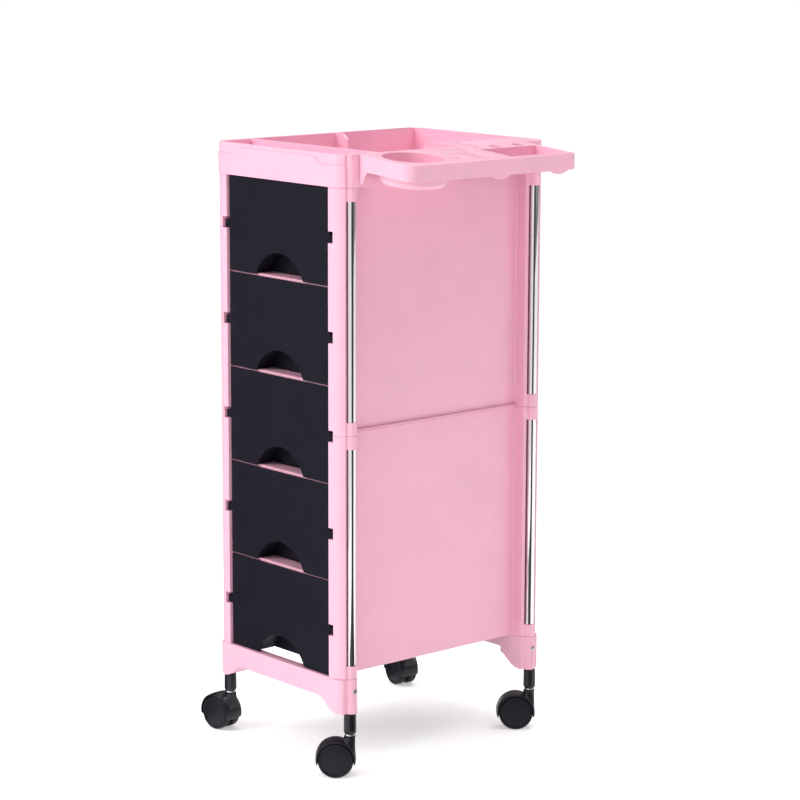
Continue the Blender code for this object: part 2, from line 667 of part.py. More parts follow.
def caster(name, x, y):
    """One swivel caster turned to its heading: sleeve, stem, hood, axle, two wheels."""
    turn = Matrix.Rotation(math.radians(CASTER_TURN[name]), 4, "Z")
    place = Matrix.Translation((x, y, 0)) @ turn
    swivel = (x, y, HOOD_TOP)
    hub = place @ Vector((TRAIL, 0, WHEEL_R))
    ring_low = HOOD_TOP + SEAM
    ring_top = ring_low + RING_H
    sleeve_low = ring_top + SEAM
    bore = STEM_R + FIT
    sleeve = turned("sleeve", ((bore, sleeve_low), (SLEEVE_R - 0.0006, sleeve_low), (SLEEVE_R, sleeve_low + 0.0010),
                               (SLEEVE_R - 0.0005, FOOT_Z - SEAM), (bore, FOOT_Z - SEAM)), 18)
    finish(moved(sleeve, place), f"caster_{name}_sleeve", CASTER_BLACK, swivel)
    stem = turned("stem", ((0.0, STEM_LOW), (STEM_R, STEM_LOW), (STEM_R, ring_low), (RING_R, ring_low),
                           (RING_R, ring_top), (STEM_R, ring_top), (STEM_R, FOOT_Z + 0.0150), (0.0, FOOT_Z + 0.0150)), 14)
    finish(moved(stem, place), f"caster_{name}_stem", STEEL, swivel)
    finish(moved(caster_hood(), place), f"caster_{name}_hood", CASTER_BLACK, swivel)
    reach = WEB_HALF + FIT / 2 + WHEEL_W - 0.0040 - FIT
    axle = prism("axle", disc(0.0, 0.0, AXLE_R, 14), -reach, reach, "Y")
    moved(axle, Matrix.Translation((TRAIL, 0, WHEEL_R)))
    finish(moved(axle, place), f"caster_{name}_axle", STEEL, hub)
    for side, sign in (("a", 1), ("b", -1)):
        wheel = moved(caster_wheel(sign), place)
        finish(wheel, f"caster_{name}_wheel_{side}", CASTER_BLACK, hub)


# --- the whole trolley -----------------------------------------------------
def centre_on_floor():
    """Move everything so the whole box is centred on the origin in plan."""
    nodes = [o for o in bpy.data.objects if o.type == "MESH"]
    points = [o.matrix_world @ v.co for o in nodes for v in o.data.vertices]
    middle = [(min(p[k] for p in points) + max(p[k] for p in points)) / 2 for k in (0, 1)]
    lowest = min(p[2] for p in points)
    for node in nodes:
        node.location -= Vector((middle[0], middle[1], lowest))


def build():
    """Make every piece."""
    clear_scene()
    for end in ("front", "rear"):
        base_bar(end)
    for side in ("left", "right"):
        for level in ("lower", "upper"):
            side_section(side, level)
    for index in range(1, DRAWER_COUNT):
        boundary = BASE_TOP + index * DRAWER_PITCH
        cross_rail(f"rail_front_{DRAWER_COUNT - index}", boundary, FRONT + RAIL_SET_BACK)
        cross_rail(f"rail_rear_{DRAWER_COUNT - index}", boundary, -FRONT - RAIL_SET_BACK - RAIL_D)
    for index in range(DRAWER_COUNT):
        drawer(index)
    top_tray()
    side_shelf()
    for end, sign_y in (("front", -1), ("rear", 1)):
        for side, sign_x in (("left", -1), ("right", 1)):
            x = sign_x * TUBE_X
            y = sign_y * TUBE_Y
            corner_tube(f"{end}_{side}", x, y)
            foot_screw(f"screw_{end}_{side}", sign_x, y)
            caster(f"{end}_{side}", x, y + sign_y * STEM_OUT)
    bpy.context.view_layer.update()
    centre_on_floor()
    bpy.context.view_layer.update()


build()
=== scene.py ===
"""Rolling salon trolley: five drawers, moulded carcass, chrome corner tubes,
top tray, side shelf and four twin-wheel casters, dressed over its fixed frame.

Metres, +Z up, front towards -Y. Every finished piece sits at the origin with
its place in its mesh.
"""

import json
import math

import bmesh
import bpy
import numpy as np
from mathutils import Matrix, Vector

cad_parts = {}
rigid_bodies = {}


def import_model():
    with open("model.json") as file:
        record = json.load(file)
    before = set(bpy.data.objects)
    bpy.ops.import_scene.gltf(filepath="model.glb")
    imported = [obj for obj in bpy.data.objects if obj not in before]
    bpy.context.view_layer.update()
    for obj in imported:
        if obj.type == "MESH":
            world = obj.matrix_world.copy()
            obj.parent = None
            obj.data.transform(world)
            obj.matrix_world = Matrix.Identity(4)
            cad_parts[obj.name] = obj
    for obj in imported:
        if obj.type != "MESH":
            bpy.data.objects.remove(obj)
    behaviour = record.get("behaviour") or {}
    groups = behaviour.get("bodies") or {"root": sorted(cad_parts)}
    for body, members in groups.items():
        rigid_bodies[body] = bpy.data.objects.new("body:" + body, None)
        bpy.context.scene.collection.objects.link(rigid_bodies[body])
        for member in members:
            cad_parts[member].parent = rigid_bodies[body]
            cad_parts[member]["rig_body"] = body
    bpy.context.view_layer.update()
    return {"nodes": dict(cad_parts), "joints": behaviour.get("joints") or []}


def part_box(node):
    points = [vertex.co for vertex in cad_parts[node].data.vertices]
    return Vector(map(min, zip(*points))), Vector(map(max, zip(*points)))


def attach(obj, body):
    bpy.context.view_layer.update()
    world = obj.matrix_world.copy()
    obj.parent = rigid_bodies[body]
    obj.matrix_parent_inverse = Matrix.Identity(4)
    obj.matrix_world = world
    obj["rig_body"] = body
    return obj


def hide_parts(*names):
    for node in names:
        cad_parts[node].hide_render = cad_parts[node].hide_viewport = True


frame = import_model()
JOINTS = {joint["name"]: joint for joint in frame["joints"]}
CORNERS = ("front_left", "front_right", "rear_left", "rear_right")

# Sizes of the finish, in metres.
TUBE_WALL = 0.0012
MOULD_SEGMENTS = 3
FOLD_DEGREES = 32.0  # a fold sharper than this is an edge of the mould
HOOD_GAP = 0.0008  # tread to the inside of the hood
HOOD_THICK = 0.0028
HOOD_HALF = 0.0154  # half the hood's width
WEB_INSET = 0.0016  # web's rim below the hood's outside
WEB_HALF = 0.0026
WEB_BORE = 0.0036  # round the axle
NECK_INSET = 0.0014  # where the neck meets the hood
NECK_RADIUS = 0.0085
NECK_FLARE = 0.0058
NECK_CAP = 0.0006
AXLE_BORE = 0.0032
SLEEVE_BORE = 0.0044
STEM_ROD = 0.0040
RING_HEIGHT = 0.0028
RING_GAP = 0.0003  # ring to sleeve
HOOD_SWEEP = (math.radians(-16.0), math.radians(196.0))
HEAD_SEAT = 0.0060  # length of a screw's shank
HEAD_EDGE = 0.0008  # height of a screw head at its rim
SHANK = 0.0014

bl_info = {
    "name": "Rolling Salon Trolley",
    "version": (1, 0, 0),
    "blender": (4, 5, 0),
    "location": "3D View > Sidebar > Trolley",
    "description": "Dresses the salon trolley's frame, piece by piece",
    "category": "Add Mesh",
}


# --- colour and nodes ------------------------------------------------------
def linear(hex_colour):
    """Hex colour of a screen to linear, each channel by the standard two-part curve."""
    channels = np.array([int(hex_colour[i : i + 2], 16) for i in (0, 2, 4)]) / 255
    low = channels / 12.92
    high = ((channels + 0.055) / 1.055) ** 2.4
    return tuple(float(c) for c in np.where(channels <= 0.04045, low, high))


def add_node(tree, kind, settings=(), values=(), links=()):
    """Add one node.

    Settings are attributes, values fill sockets, and each link is
    (socket here, node before, its output).
    """
    node = tree.nodes.new(kind)
    for name, value in dict(settings).items():
        setattr(node, name, value)
    for name, value in dict(values).items():
        node.inputs[name].default_value = value
    for name, source, output in links:
        tree.links.new(source.outputs[output], node.inputs[name])
    return node


def noise(tree, place, scale, detail, **values):
    """Noise texture, over the object's own coordinates or another node's vector."""
    values.update(Scale=scale, Detail=detail)
    source = "Vector" if place.bl_idname == "ShaderNodeMapping" else "Object"
    return add_node(tree, "ShaderNodeTexNoise", values=values, links=(("Vector", place, source),))


def spread(tree, source, from_span, to_span=(0.0, 1.0)):
    """Map a noise's middle span of values onto another span."""
    values = {
        "From Min": from_span[0], "From Max": from_span[1], "To Min": to_span[0], "To Max": to_span[1],
    }
    return add_node(tree, "ShaderNodeMapRange", values=values, links=(("Value", source, 0),))


def blend(tree, factor, first, second):
    """Mix of two colours by a node's first output; its colour is output 2."""
    mix = add_node(tree, "ShaderNodeMix", {"data_type": "RGBA"}, links=(("Factor", factor, 0),))
    mix.inputs[6].default_value = (*first, 1.0)
    mix.inputs[7].default_value = (*second, 1.0)
    return mix


def start_material(name):
    """An empty material with a Principled shader on its output, and Object coordinates."""
    mat = bpy.data.materials.new(name)
    mat.use_nodes = True
    tree = mat.node_tree
    tree.nodes.clear()
    shader = add_node(tree, "ShaderNodeBsdfPrincipled")
    add_node(tree, "ShaderNodeOutputMaterial", links=(("Surface", shader, "BSDF"),))
    place = add_node(tree, "ShaderNodeTexCoord")
    return mat, tree, shader, place


def mottled(name, light, dark, cloud_mm, grain_mm, grain_depth_mm, rough, specular=0.5):
    """Moulded plastic: clouded colour, uneven gloss and a fine eroded grain.

    cloud_mm is the width of a soft colour patch, grain_mm of one grain.
    """
    mat, tree, shader, place = start_material(name)
    shader.inputs["IOR"].default_value = 1.49
    shader.inputs["Specular IOR Level"].default_value = specular
    cloud = noise(tree, place, 1000 / cloud_mm, 3.0, Roughness=0.55)
    mix = blend(tree, spread(tree, cloud, (0.3, 0.7)), light, dark)
    tree.links.new(mix.outputs[2], shader.inputs["Base Color"])
    gloss = noise(tree, place, 1000 / (cloud_mm * 0.3), 4.0)
    span = spread(tree, gloss, (0.35, 0.65), rough)
    tree.links.new(span.outputs["Result"], shader.inputs["Roughness"])
    grain = noise(tree, place, 1000 / grain_mm, 2.0)
    bump = add_node(
        tree, "ShaderNodeBump", values={"Strength": 0.5, "Distance": grain_depth_mm / 1000},
        links=(("Height", grain, "Fac"),),
    )
    tree.links.new(bump.outputs["Normal"], shader.inputs["Normal"])
    return mat


def pink_polypropylene(settings):
    """Satin moulded polypropylene.

    A soft sheen on a lightly eroded skin, faintly clouded where the melt cooled.
    """
    light = tuple(settings.pink)
    dark = tuple(c * 0.955 for c in light)
    return mottled("satin_moulded_pink_polypropylene", light, dark, 55.0, 1.1, 0.018, (0.30, 0.40))


def black_polypropylene(settings):
    """Grained black polypropylene.

    Fine spark-eroded texture, drawn at 1.3 mm so that it shows, with almost no sheen.
    """
    light = tuple(settings.drawer_black)
    dark = tuple(c * 0.78 for c in light)
    return mottled("grained_black_polypropylene", light, dark, 38.0, 1.3, 0.05, (0.50, 0.62), 0.12)


def hood_nylon(settings):
    """Moulded black nylon: smoother and glossier than the drawers, with orange peel."""
    light = tuple(settings.caster_black)
    dark = tuple(c * 0.7 for c in light)
    return mottled("moulded_black_nylon", light, dark, 16.0, 1.8, 0.03, (0.28, 0.40), 0.45)


def tread_nylon(settings):
    """Hard black nylon of the wheels: dulled by rolling, so rougher and a touch greyer."""
    light = tuple(c * 1.25 for c in settings.caster_black)
    dark = tuple(settings.caster_black)
    return mottled("rolled_black_nylon_tread", light, dark, 9.0, 0.9, 0.03, (0.40, 0.55), 0.25)


def polished_metal(name, colour, rough, line_mm, length_mm, depth_mm):
    """Metal with polishing lines.

    Noise squeezed across (line_mm) and drawn out along Z (length_mm).
    """
    mat, tree, shader, place = start_material(name)
    shader.inputs["Metallic"].default_value = 1.0
    scale = (1000 / line_mm, 1000 / line_mm, 1000 / length_mm)
    squeeze = add_node(
        tree, "ShaderNodeMapping", values={"Scale": scale}, links=(("Vector", place, "Object"),),
    )
    lines = noise(tree, squeeze, 1.0, 3.0)
    haze = noise(tree, place, 1000 / 22.0, 4.0)
    tint = blend(tree, haze, colour, [c * 0.93 for c in colour])
    tree.links.new(tint.outputs[2], shader.inputs["Base Color"])
    span = spread(tree, haze, (0.3, 0.7), rough)
    tree.links.new(span.outputs["Result"], shader.inputs["Roughness"])
    bump = add_node(
        tree, "ShaderNodeBump", values={"Strength": 0.3, "Distance": depth_mm / 1000},
        links=(("Height", lines, "Fac"),),
    )
    tree.links.new(bump.outputs["Normal"], shader.inputs["Normal"])
    return mat


def chrome_plate(settings):
    """Chrome plate on drawn steel tube: near-mirror, with faint lengthwise drawing lines."""
    colour = tuple(settings.chrome)
    return polished_metal("chrome_plated_steel_tube", colour, (0.05, 0.11), 1.2, 90.0, 0.004)


def zinc_plate(settings):
    """Bright zinc plate on turned steel: softer reflections than chrome, slightly hazy."""
    colour = tuple(settings.zinc)
    return polished_metal("bright_zinc_plated_steel", colour, (0.20, 0.32), 0.7, 3.0, 0.01)


FINISHES = {  # kind: (maker, slot)
    "pink": (pink_polypropylene, "pink_plastic"),
    "drawer": (black_polypropylene, "drawer_plastic"),
    "hood": (hood_nylon, "caster_plastic"),
    "tread": (tread_nylon, "caster_wheel"),
    "chrome": (chrome_plate, "chrome"),
    "zinc": (zinc_plate, "steel"),
}
MADE = {}


def finish_material(kind):
    """Make a finish once and hand the same one back after that."""
    if kind not in MADE:
        MADE[kind] = FINISHES[kind][0](bpy.context.scene.salon_trolley)
    return MADE[kind]


# --- surfaces --------------------------------------------------------------
def surface(name, grids, smooth_angle=40.0):
    """One mesh from grids of points, each (rows, columns, 3) and wrapped round its columns.

    Each grid runs row by row; neighbouring rows are joined by a strip of
    quads, and a first or last row that meets in one point closes as a pole.
    """
    points, faces, offset = [], [], 0
    for grid in grids:
        rows, columns = grid.shape[:2]
        index = offset + np.arange(rows * columns).reshape(rows, columns)
        after = np.roll(index, -1, axis=1)
        quads = np.stack((index[:-1], after[:-1], after[1:], index[1:]), axis=-1)
        points.append(grid.reshape(-1, 3))
        faces.append(quads.reshape(-1, 4))
        offset += rows * columns
    points, faces = np.concatenate(points), np.concatenate(faces)
    mesh = bpy.data.meshes.new(name)
    mesh.from_pydata(points, [], faces)
    work = bmesh.new()
    work.from_mesh(mesh)
    bmesh.ops.remove_doubles(work, verts=work.verts, dist=1e-7)
    bmesh.ops.dissolve_degenerate(work, edges=work.edges, dist=1e-8)
    bmesh.ops.recalc_face_normals(work, faces=work.faces)
    work.to_mesh(mesh)
    work.free()
    mesh.polygons.foreach_set("use_smooth", np.ones(len(mesh.polygons), bool))
    mesh.set_sharp_from_angle(angle=math.radians(smooth_angle))
    obj = bpy.data.objects.new(name, mesh)
    bpy.context.scene.collection.objects.link(obj)
    return obj


def lathe(profile, segments, centre, axis=(0.0, 0.0, 1.0)):
    """Grid of a profile of (radius, height) turned about an axis through centre.

    Point = centre + height * axis + radius * (cos t * across + sin t * up).
    """
    profile = np.asarray(profile, float)
    axis = np.asarray(axis, float) / np.linalg.norm(axis)
    helper = np.array((0.0, 0.0, 1.0)) if abs(axis[2]) < 0.9 else np.array((1.0, 0.0, 0.0))
    across = np.cross(helper, axis)
    across /= np.linalg.norm(across)
    up = np.cross(axis, across)
    turn = np.linspace(0.0, 2 * np.pi, segments, endpoint=False)
    radius, height = profile[:, 0, None, None], profile[:, 1, None, None]
    spoke = np.cos(turn)[None, :, None] * across + np.sin(turn)[None, :, None] * up
    return np.asarray(centre) + height * axis + radius * spoke


def rounded(points, radius, steps=4):
    """Round the inner corners of a polyline.

    Each becomes a quadratic curve between points one radius away, or nearer
    where a side is short.
    """
    points = np.asarray(points, float)
    inner, before, after = points[1:-1], points[:-2], points[2:]
    back, ahead = before - inner, after - inner
    length_back = np.linalg.norm(back, axis=1, keepdims=True)
    length_ahead = np.linalg.norm(ahead, axis=1, keepdims=True)
    reach = np.minimum(radius, 0.45 * np.minimum(length_back, length_ahead))
    start = inner + back / length_back * reach
    end = inner + ahead / length_ahead * reach
    t = np.linspace(0.0, 1.0, steps + 1)[None, :, None]
    curve = (1 - t) ** 2 * start[:, None] + 2 * t * (1 - t) * inner[:, None] + t**2 * end[:, None]
    return np.concatenate((points[:1], curve.reshape(-1, points.shape[1]), points[-1:]))


def dressed(obj, kind, node):
    """Give a piece its finish and the body of the frame node it stands for, and hide that node."""
    obj.data.materials.clear()
    obj.data.materials.append(finish_material(kind))
    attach(obj, frame["nodes"][node]["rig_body"])
    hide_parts(node)


def moulding(node, kind, width):
    """A copy of a frame node, its sharp edges rounded as a mould leaves them.

    Facets of one flat face are merged first. Then each sharply folded edge
    gets a bevel of the given width; flat faces keep their own normals.
    """
    mesh = frame["nodes"][node].data.copy()
    work = bmesh.new()
    work.from_mesh(mesh)
    bmesh.ops.remove_doubles(work, verts=work.verts, dist=2e-6)
    bmesh.ops.dissolve_degenerate(work, edges=work.edges, dist=2e-6)
    flat = math.radians(0.6)
    bmesh.ops.dissolve_limit(work, angle_limit=flat, verts=work.verts, edges=work.edges)
    many = [face for face in work.faces if len(face.verts) > 4]
    bmesh.ops.triangulate(work, faces=many, ngon_method="BEAUTY")
    layer = work.edges.layers.float.new("bevel_weight_edge")
    for edge in work.edges:
        fold = edge.calc_face_angle(0.0) if len(edge.link_faces) == 2 else 0.0
        sharp = fold > math.radians(FOLD_DEGREES)
        edge[layer] = 1.0 if sharp else 0.0
        edge.smooth = not sharp
    for face in work.faces:
        face.smooth = True
    work.to_mesh(mesh)
    work.free()
    obj = bpy.data.objects.new(node + "_moulding", mesh)
    bpy.context.scene.collection.objects.link(obj)
    bevel = obj.modifiers.new("moulded_edge", "BEVEL")
    bevel.limit_method = "WEIGHT"
    bevel.width = width
    bevel.segments = MOULD_SEGMENTS
    bevel.use_clamp_overlap = False
    bevel.harden_normals = True
    bevel.miter_outer = "MITER_ARC"
    dressed(obj, kind, node)


# --- settings --------------------------------------------------------------
def half_width(node):
    """Half of a frame node's width along X."""
    low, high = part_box(node)
    return (high.x - low.x) / 2


def colour_setting(name, about, hex_colour):
    """A colour in the sidebar."""
    return bpy.props.FloatVectorProperty(
        name=name, description=about, subtype="COLOR", size=3, min=0.0, max=1.0, default=linear(hex_colour),
    )


def length_setting(name, about, default, least, most):
    """A length in the sidebar."""
    return bpy.props.FloatProperty(
        name=name, description=about, unit="LENGTH", subtype="DISTANCE", precision=4,
        default=default, min=least, max=most,
    )


class TrolleySettings(bpy.types.PropertyGroup):
    """Sizes and colours of the trolley's finish."""

    pink: colour_setting("Carcass pink", "Colour of the moulded carcass, tray and shelf", "F1B4C9")
    drawer_black: colour_setting("Drawer black", "Colour of the drawers", "171622")
    caster_black: colour_setting("Caster black", "Colour of the caster hoods and sleeves", "0F0F19")
    chrome: colour_setting("Chrome", "Colour of the corner tubes' plating", "E6E5E4")
    zinc: colour_setting("Zinc", "Colour of screws, caster rings and stems", "D3D3D6")
    rim_round: length_setting(
        "Rim rounding", "Rounding on the edges of the tray and shelf", 0.0004, 0.0001, 0.003,
    )
    edge_round: length_setting(
        "Edge rounding", "Rounding on the edges of sides, bars and drawers", 0.0004, 0.0001, 0.003,
    )
    tube_radius: length_setting(
        "Tube radius", "Outer radius of a corner tube", half_width("tube_front_right"), 0.002, 0.02,
    )
    wheel_radius: length_setting(
        "Wheel radius", "Radius of a caster wheel",
        JOINTS["caster_front_right_roll_a"]["pos_m"][2], 0.01, 0.06,
    )


# --- carcass ---------------------------------------------------------------
class TROLLEY_OT_sides(bpy.types.Operator):
    """Make the four moulded side sections, with posts, collars, notches and runner ledges"""

    bl_idname = "trolley.sides"
    bl_label = "Side Sections"

    def execute(self, context):
        for side in ("left", "right"):
            for level in ("lower", "upper"):
                moulding(f"side_{side}_{level}", "pink", context.scene.salon_trolley.edge_round)
        return {"FINISHED"}


class TROLLEY_OT_base(bpy.types.Operator):
    """Make the front and rear base bars with their feet"""

    bl_idname = "trolley.base"
    bl_label = "Base Bars"

    def execute(self, context):
        for end in ("front", "rear"):
            moulding(f"base_bar_{end}", "pink", context.scene.salon_trolley.edge_round)
        return {"FINISHED"}


class TROLLEY_OT_rails(bpy.types.Operator):
    """Make the cross rails between the drawers, front and rear"""

    bl_idname = "trolley.rails"
    bl_label = "Cross Rails"

    def execute(self, context):
        for end in ("front", "rear"):
            for number in range(1, 5):
                moulding(f"rail_{end}_{number}", "pink", context.scene.salon_trolley.edge_round)
        return {"FINISHED"}


class TROLLEY_OT_tubes(bpy.types.Operator):
    """Make the four chrome plated corner tubes, with rolled ends"""

    bl_idname = "trolley.tubes"
    bl_label = "Corner Tubes"

    def execute(self, context):
        radius = context.scene.salon_trolley.tube_radius
        for corner in CORNERS:
            node = f"tube_{corner}"
            low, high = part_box(node)
            inner = radius - TUBE_WALL
            middle = (low.z + high.z) / 2
            section = [
                (radius, middle), (radius, high.z), (inner, high.z),
                (inner, low.z), (radius, low.z), (radius, middle),
            ]
            profile = rounded(section, 0.0005)
            centre = ((low.x + high.x) / 2, (low.y + high.y) / 2, 0.0)
            tube = surface(f"{node}_chrome", [lathe(profile, 64, centre)])
            dressed(tube, "chrome", node)
        return {"FINISHED"}


class TROLLEY_OT_screws(bpy.types.Operator):
    """Make the four cross-head foot screws"""

    bl_idname = "trolley.screws"
    bl_label = "Foot Screws"

    def execute(self, context):
        for corner in CORNERS:
            node = f"screw_{corner}"
            low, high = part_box(node)
            out = 1.0 if "right" in corner else -1.0
            screw = surface(f"{node}_head", [cross_head(low, high, out)], 50.0)
            dressed(screw, "zinc", node)
        return {"FINISHED"}


def cross_bar(across, along):
    """1 on one bar of the cross, 0 off it, with a smooth edge between."""
    width = np.clip((0.00042 - abs(across)) / 0.0001 + 0.5, 0, 1)
    return width * np.clip((0.0021 - abs(along)) / 0.0002 + 0.5, 0, 1)


def cross_head(low, high, out):
    """Pan head with a cross recess, as one turned grid.

    Height = crown * (1 - (r / R)^2) - depth * recess, where recess is 1 on two
    crossing bars and falls off smoothly over a tenth of a millimetre; the rim,
    the seat and the shank follow the head down to a pole.
    """
    radius = (high.y - low.y) / 2
    crown = high.x - low.x - HEAD_SEAT - HEAD_EDGE
    turn = np.linspace(0.0, 2 * np.pi, 72, endpoint=False)[None]
    ring = np.linspace(0.0, 1.0, 26)[:, None] * radius * 0.96
    a, b = ring * np.cos(turn), ring * np.sin(turn)
    recess = np.maximum(cross_bar(a, b), cross_bar(b, a))
    height = HEAD_SEAT + HEAD_EDGE + crown * (1 - (ring / radius) ** 2) - 0.0009 * recess
    rim = rounded(
        [
            (radius * 0.96, HEAD_SEAT + 0.0009), (radius, HEAD_SEAT + 0.0004), (radius, HEAD_SEAT),
            (SHANK, HEAD_SEAT), (SHANK, 0.0), (0.0, 0.0),
        ],
        0.0002,
    )[1:]
    edge_a = rim[:, 0, None] * np.cos(turn)
    edge_b = rim[:, 0, None] * np.sin(turn)
    edge_h = np.broadcast_to(rim[:, 1, None], edge_a.shape)
    a, b, height = (np.concatenate(pair) for pair in ((a, edge_a), (b, edge_b), (height, edge_h)))
    start = low.x if out > 0 else high.x
    middle_y, middle_z = (low.y + high.y) / 2, (low.z + high.z) / 2
    return np.stack((start + out * height, middle_y + a, middle_z + b), axis=-1)


# --- drawers, tray and shelf -----------------------------------------------
class TROLLEY_OT_drawers(bpy.types.Operator):
    """Make the five drawers, each with its plate, tub, ears and finger grip"""

    bl_idname = "trolley.drawers"
    bl_label = "Drawers"

    def execute(self, context):
        for number in range(1, 6):
            moulding(f"drawer_{number}", "drawer", context.scene.salon_trolley.edge_round)
        return {"FINISHED"}


class TROLLEY_OT_tray(bpy.types.Operator):
    """Make the top tray with its front field, recess and bins"""

    bl_idname = "trolley.tray"
    bl_label = "Top Tray"

    def execute(self, context):
        moulding("top_tray", "pink", context.scene.salon_trolley.rim_round)
        return {"FINISHED"}


class TROLLEY_OT_shelf(bpy.types.Operator):
    """Make the side shelf with its bowl well, foil trough, slots and saw edge"""

    bl_idname = "trolley.shelf"
    bl_label = "Side Shelf"

    def execute(self, context):
        moulding("side_shelf", "pink", context.scene.salon_trolley.rim_round)
        return {"FINISHED"}


# --- casters ---------------------------------------------------------------
def caster_frame(name):
    """Swivel pivot, hub, heading, axle direction and trail of one caster, from its joints."""
    pivot = np.array(JOINTS[f"caster_{name}_swivel"]["pos_m"])
    hub = np.array(JOINTS[f"caster_{name}_roll_a"]["pos_m"])
    ahead = hub - pivot
    ahead[2] = 0.0
    trail = np.linalg.norm(ahead)
    ahead /= trail
    side = np.array((-ahead[1], ahead[0], 0.0))
    return pivot, hub, ahead, side, trail


def wheel_profile(radius, inner, outer):
    """Half section of a wheel, as (radius, distance along the axle).

    Blind bore, inner face, round-shouldered tread, groove inside the rim,
    then a dome of 0.7 mm: height = 0.7 mm * (1 - (r / rim)^2).
    """
    face = outer - 0.0006
    bore_end = outer - 0.0040
    line = [
        (0.0, bore_end), (AXLE_BORE, bore_end), (AXLE_BORE, inner), (radius - 0.0018, inner),
        (radius, inner + 0.0016), (radius, outer - 0.0022), (radius - 0.0020, outer),
        (radius * 0.87, outer), (radius * 0.845, face - 0.0007), (radius * 0.80, face - 0.0005),
    ]
    dome_r = np.linspace(radius * 0.78, 0.0, 9)
    dome = [(r, face - 0.0003 + 0.0007 * (1 - (r / radius / 0.78) ** 2)) for r in dome_r]
    return np.concatenate((rounded(line, 0.0011), dome))


def swept(section, turns, shrink):
    """Section of (across, radius) swept round the axle, scaled about its middle at each turn."""
    middle = section.mean(axis=0)
    loop = middle + (section - middle)[None] * shrink[:, None, None]
    across, reach = loop[..., 0], loop[..., 1]
    return across, reach * np.cos(turns)[:, None], reach * np.sin(turns)[:, None]


def hood_band(radius):
    """Grid of the hood: a closed band section swept round the axle, its ends tucked in to poles.

    Section: outer face at radius, crowned by 1.2 mm across the width, inner
    face one thickness in, corners rounded. Within the last four degrees of
    the sweep the section shrinks about its middle as a quarter ellipse.
    """
    start, end = HOOD_SWEEP
    half, inner, shoulder = HOOD_HALF, radius - HOOD_THICK, radius - 0.0012
    section = np.array([
        (-half, inner), (-half, shoulder), (-half * 0.6, radius - 0.0002), (0.0, radius),
        (half * 0.6, radius - 0.0002), (half, shoulder), (half, inner), (-half, inner), (-half, shoulder),
    ])
    section = rounded(section, 0.0009, 3)[1:-1]
    tuck = math.radians(4.0)
    lead = np.array((0.0, 0.1, 0.3, 0.6)) * tuck
    sweep = np.linspace(start, end, 54)
    sweep = sweep[(sweep > start + tuck) & (sweep < end - tuck)]
    turns = np.concatenate((start + lead, sweep, (end - lead)[::-1]))
    gap = np.minimum(np.minimum(turns - start, end - turns), tuck) / tuck
    return swept(section, turns, np.sqrt(np.clip(1 - (1 - gap) ** 2, 0, 1)))


def web_plate(radius):
    """Grid of the plate between the wheels: a rectangle swept round the axle."""
    half, seam = WEB_HALF, (-WEB_HALF, 0.014)
    section = rounded(
        [seam, (-half, radius), (half, radius), (half, WEB_BORE), (-half, WEB_BORE), seam], 0.0006, 2,
    )
    turns = np.linspace(*HOOD_SWEEP, 40)
    turns = np.concatenate((turns[:1], turns, turns[-1:]))
    shrink = np.ones(len(turns))
    shrink[[0, -1]] = 0.0
    return swept(section, turns, shrink)


def neck(trail, top, shell):
    """Grid of the swivel boss that flares into the hood.

    Rows run from the pole of the cap down: the cap, then rings of radius
    boss + flare * t^2.5 from the top (t = 0) to the hood (t = 1), then the
    underside in to a pole. The lower edge and the underside lie on a cylinder
    of radius shell about the axle.
    """
    turn = np.linspace(0.0, 2 * np.pi, 48, endpoint=False)[None]
    crown = np.array((0.0, 0.55, 0.90, 0.97))[:, None]
    t = np.linspace(0.0, 1.0, 16)[:, None]
    inward = np.array((0.8, 0.5, 0.0))[:, None]
    ring = np.concatenate((
        NECK_RADIUS * crown, NECK_RADIUS + NECK_FLARE * t**2.5, (NECK_RADIUS + NECK_FLARE) * inward,
    ))
    drop = np.concatenate((np.zeros_like(crown), t, np.ones_like(inward)))
    cap = NECK_CAP * np.sqrt(np.clip(1 - crown**4, 0, 1))
    upper = top + np.concatenate((cap, np.zeros_like(t), np.zeros_like(inward)))
    along = -trail + ring * np.cos(turn)
    along[len(crown):] = np.maximum(along[len(crown):], -shell)
    floor = np.sqrt(np.clip(shell**2 - along**2, 0.008**2, None))
    return ring * np.sin(turn), along, upper * (1 - drop) + floor * drop


